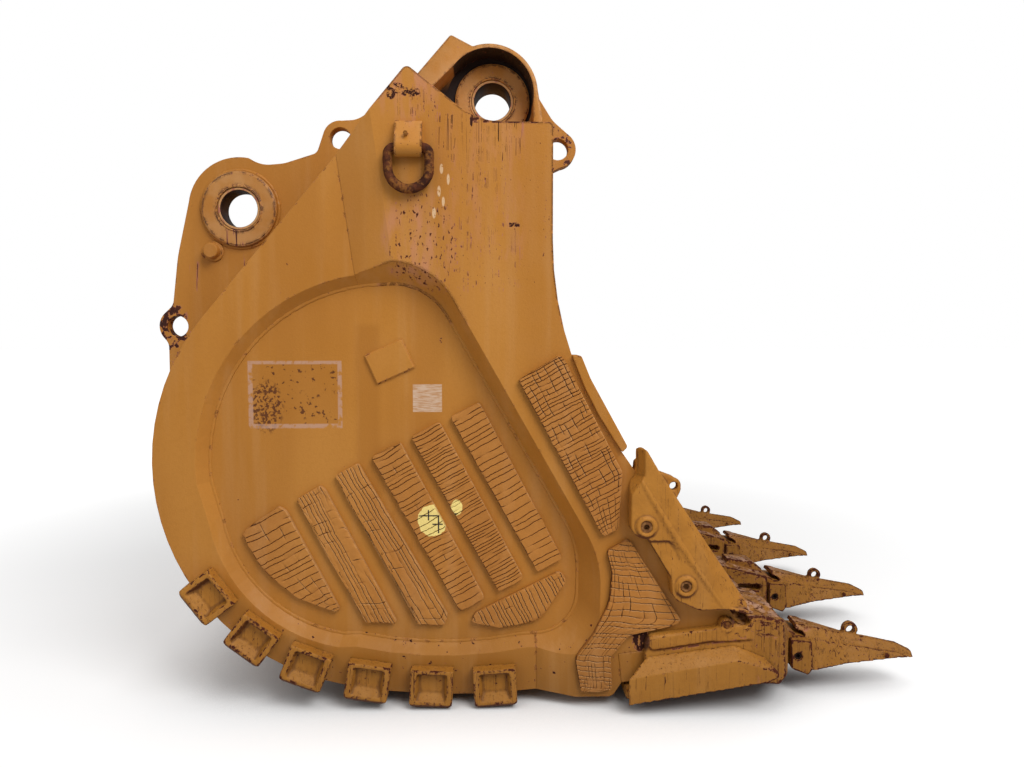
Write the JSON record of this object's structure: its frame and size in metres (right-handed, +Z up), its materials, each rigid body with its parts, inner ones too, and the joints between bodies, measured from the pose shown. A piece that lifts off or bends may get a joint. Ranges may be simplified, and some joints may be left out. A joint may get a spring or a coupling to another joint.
{
  "type": "excavator bucket",
  "caption": "Mining excavator backhoe bucket: rolled shell, dished side walls, hinge webs with pin bores, cast lip with replaceable tips, shrouds, turning locks and swinging lifting rings.",
  "frame": {"origin": "centre of the stick pin bore, midway between the two hinge webs", "axes": "+X digging direction towards the tips, +Y along the pins towards the left side wall, +Z up as the bucket stands on its heel"},
  "size_m": [3.792, 3, 3.0512],
  "materials": {
    "shell_paint": "faded ochre yellow enamel on steel plate, rust at the edges",
    "casting_paint": "ochre paint on rough castings, chipped to primer and rust",
    "hardfacing": "painted over cracked hardfacing",
    "bushing_steel": "machined steel, lightly rusted",
    "rusty_steel": "forged steel, rusty with paint remains",
    "lock_steel": "dull brown steel"
  },
  "bodies": {
    "bucket": {"right_side_frame": "shell_paint", "left_side_frame": "shell_paint", "right_side_rim": "shell_paint", "left_side_rim": "shell_paint", "right_side_panel": "shell_paint", "left_side_panel": "shell_paint", "right_edge_guard": "shell_paint", "left_edge_guard": "shell_paint", "right_panel_strips": "hardfacing", "left_panel_strips": "hardfacing", "right_corner_plates": "hardfacing", "left_corner_plates": "hardfacing", "badge_plates": "shell_paint", "right_heel_shrouds": "casting_paint", "left_heel_shrouds": "casting_paint", "right_wing_shroud": "casting_paint", "left_wing_shroud": "casting_paint", "right_corner_adapter": "casting_paint", "left_corner_adapter": "casting_paint", "corner_runners": "casting_paint", "right_hinge_web": "shell_paint", "left_hinge_web": "shell_paint", "right_pin_guard": "shell_paint", "left_pin_guard": "shell_paint", "stick_pin_bosses": "shell_paint", "link_pin_bosses": "shell_paint", "stick_pin_bushings": "bushing_steel", "link_pin_bushings": "bushing_steel", "ring_brackets": "shell_paint", "pin_stop_stubs": "shell_paint", "back_sheet": "shell_paint", "heel_wrapper": "shell_paint", "floor_plate": "shell_paint", "torque_tube_cap": "shell_paint", "torque_tube_liner": "shell_paint", "lip_plate": "shell_paint", "right_inner_adapter": "casting_paint", "left_inner_adapter": "casting_paint", "right_lip_shroud": "casting_paint", "centre_lip_shroud": "casting_paint", "left_lip_shroud": "casting_paint", "right_outer_tip": "casting_paint", "right_inner_tip": "casting_paint", "left_inner_tip": "casting_paint", "left_outer_tip": "casting_paint"},
    "right_lifting_ring_body": {"right_lifting_ring": "rusty_steel"},
    "left_lifting_ring_body": {"left_lifting_ring": "rusty_steel"},
    "right_upper_wing_lock_body": {"right_upper_wing_lock": "lock_steel"},
    "right_lower_wing_lock_body": {"right_lower_wing_lock": "lock_steel"},
    "right_outer_tip_lock_body": {"right_outer_tip_lock": "lock_steel"},
    "right_inner_tip_lock_body": {"right_inner_tip_lock": "lock_steel"},
    "left_upper_wing_lock_body": {"left_upper_wing_lock": "lock_steel"},
    "left_lower_wing_lock_body": {"left_lower_wing_lock": "lock_steel"},
    "left_outer_tip_lock_body": {"left_outer_tip_lock": "lock_steel"},
    "left_inner_tip_lock_body": {"left_inner_tip_lock": "lock_steel"}
  },
  "joints": [
    {"name": "right_ring_swing", "type": "hinge", "parent": "bucket", "child": "right_lifting_ring_body", "pos_m": [-0.352, -1.43, -0.372], "axis": [-1, 0, 0], "range_deg": [0, 175]},
    {"name": "left_ring_swing", "type": "hinge", "parent": "bucket", "child": "left_lifting_ring_body", "pos_m": [-0.352, 1.43, -0.372], "axis": [1, 0, 0], "range_deg": [0, 175]},
    {"name": "right_upper_wing_lock_turn", "type": "hinge", "parent": "bucket", "child": "right_upper_wing_lock_body", "pos_m": [0.646, -1.458, -1.959], "axis": [0, -1, 0], "range_deg": [0, 180]},
    {"name": "right_lower_wing_lock_turn", "type": "hinge", "parent": "bucket", "child": "right_lower_wing_lock_body", "pos_m": [0.819, -1.458, -2.219], "axis": [0, -1, 0], "range_deg": [0, 180]},
    {"name": "right_outer_tip_lock_turn", "type": "hinge", "parent": "bucket", "child": "right_outer_tip_lock_body", "pos_m": [1.39116, -1.2834, -2.612], "axis": [-0.0872, -0.9962, 0], "range_deg": [0, 180]},
    {"name": "right_inner_tip_lock_turn", "type": "hinge", "parent": "bucket", "child": "right_inner_tip_lock_body", "pos_m": [1.576, -0.502, -2.612], "axis": [0, -1, 0], "range_deg": [0, 180]},
    {"name": "left_upper_wing_lock_turn", "type": "hinge", "parent": "bucket", "child": "left_upper_wing_lock_body", "pos_m": [0.646, 1.458, -1.959], "axis": [0, 1, 0], "range_deg": [0, 180]},
    {"name": "left_lower_wing_lock_turn", "type": "hinge", "parent": "bucket", "child": "left_lower_wing_lock_body", "pos_m": [0.819, 1.458, -2.219], "axis": [0, 1, 0], "range_deg": [0, 180]},
    {"name": "left_outer_tip_lock_turn", "type": "hinge", "parent": "bucket", "child": "left_outer_tip_lock_body", "pos_m": [1.41068, 1.06026, -2.612], "axis": [0.0872, -0.9962, 0], "range_deg": [0, 180]},
    {"name": "left_inner_tip_lock_turn", "type": "hinge", "parent": "bucket", "child": "left_inner_tip_lock_body", "pos_m": [1.576, 0.278, -2.612], "axis": [0, -1, 0], "range_deg": [0, 180]}
  ]
}
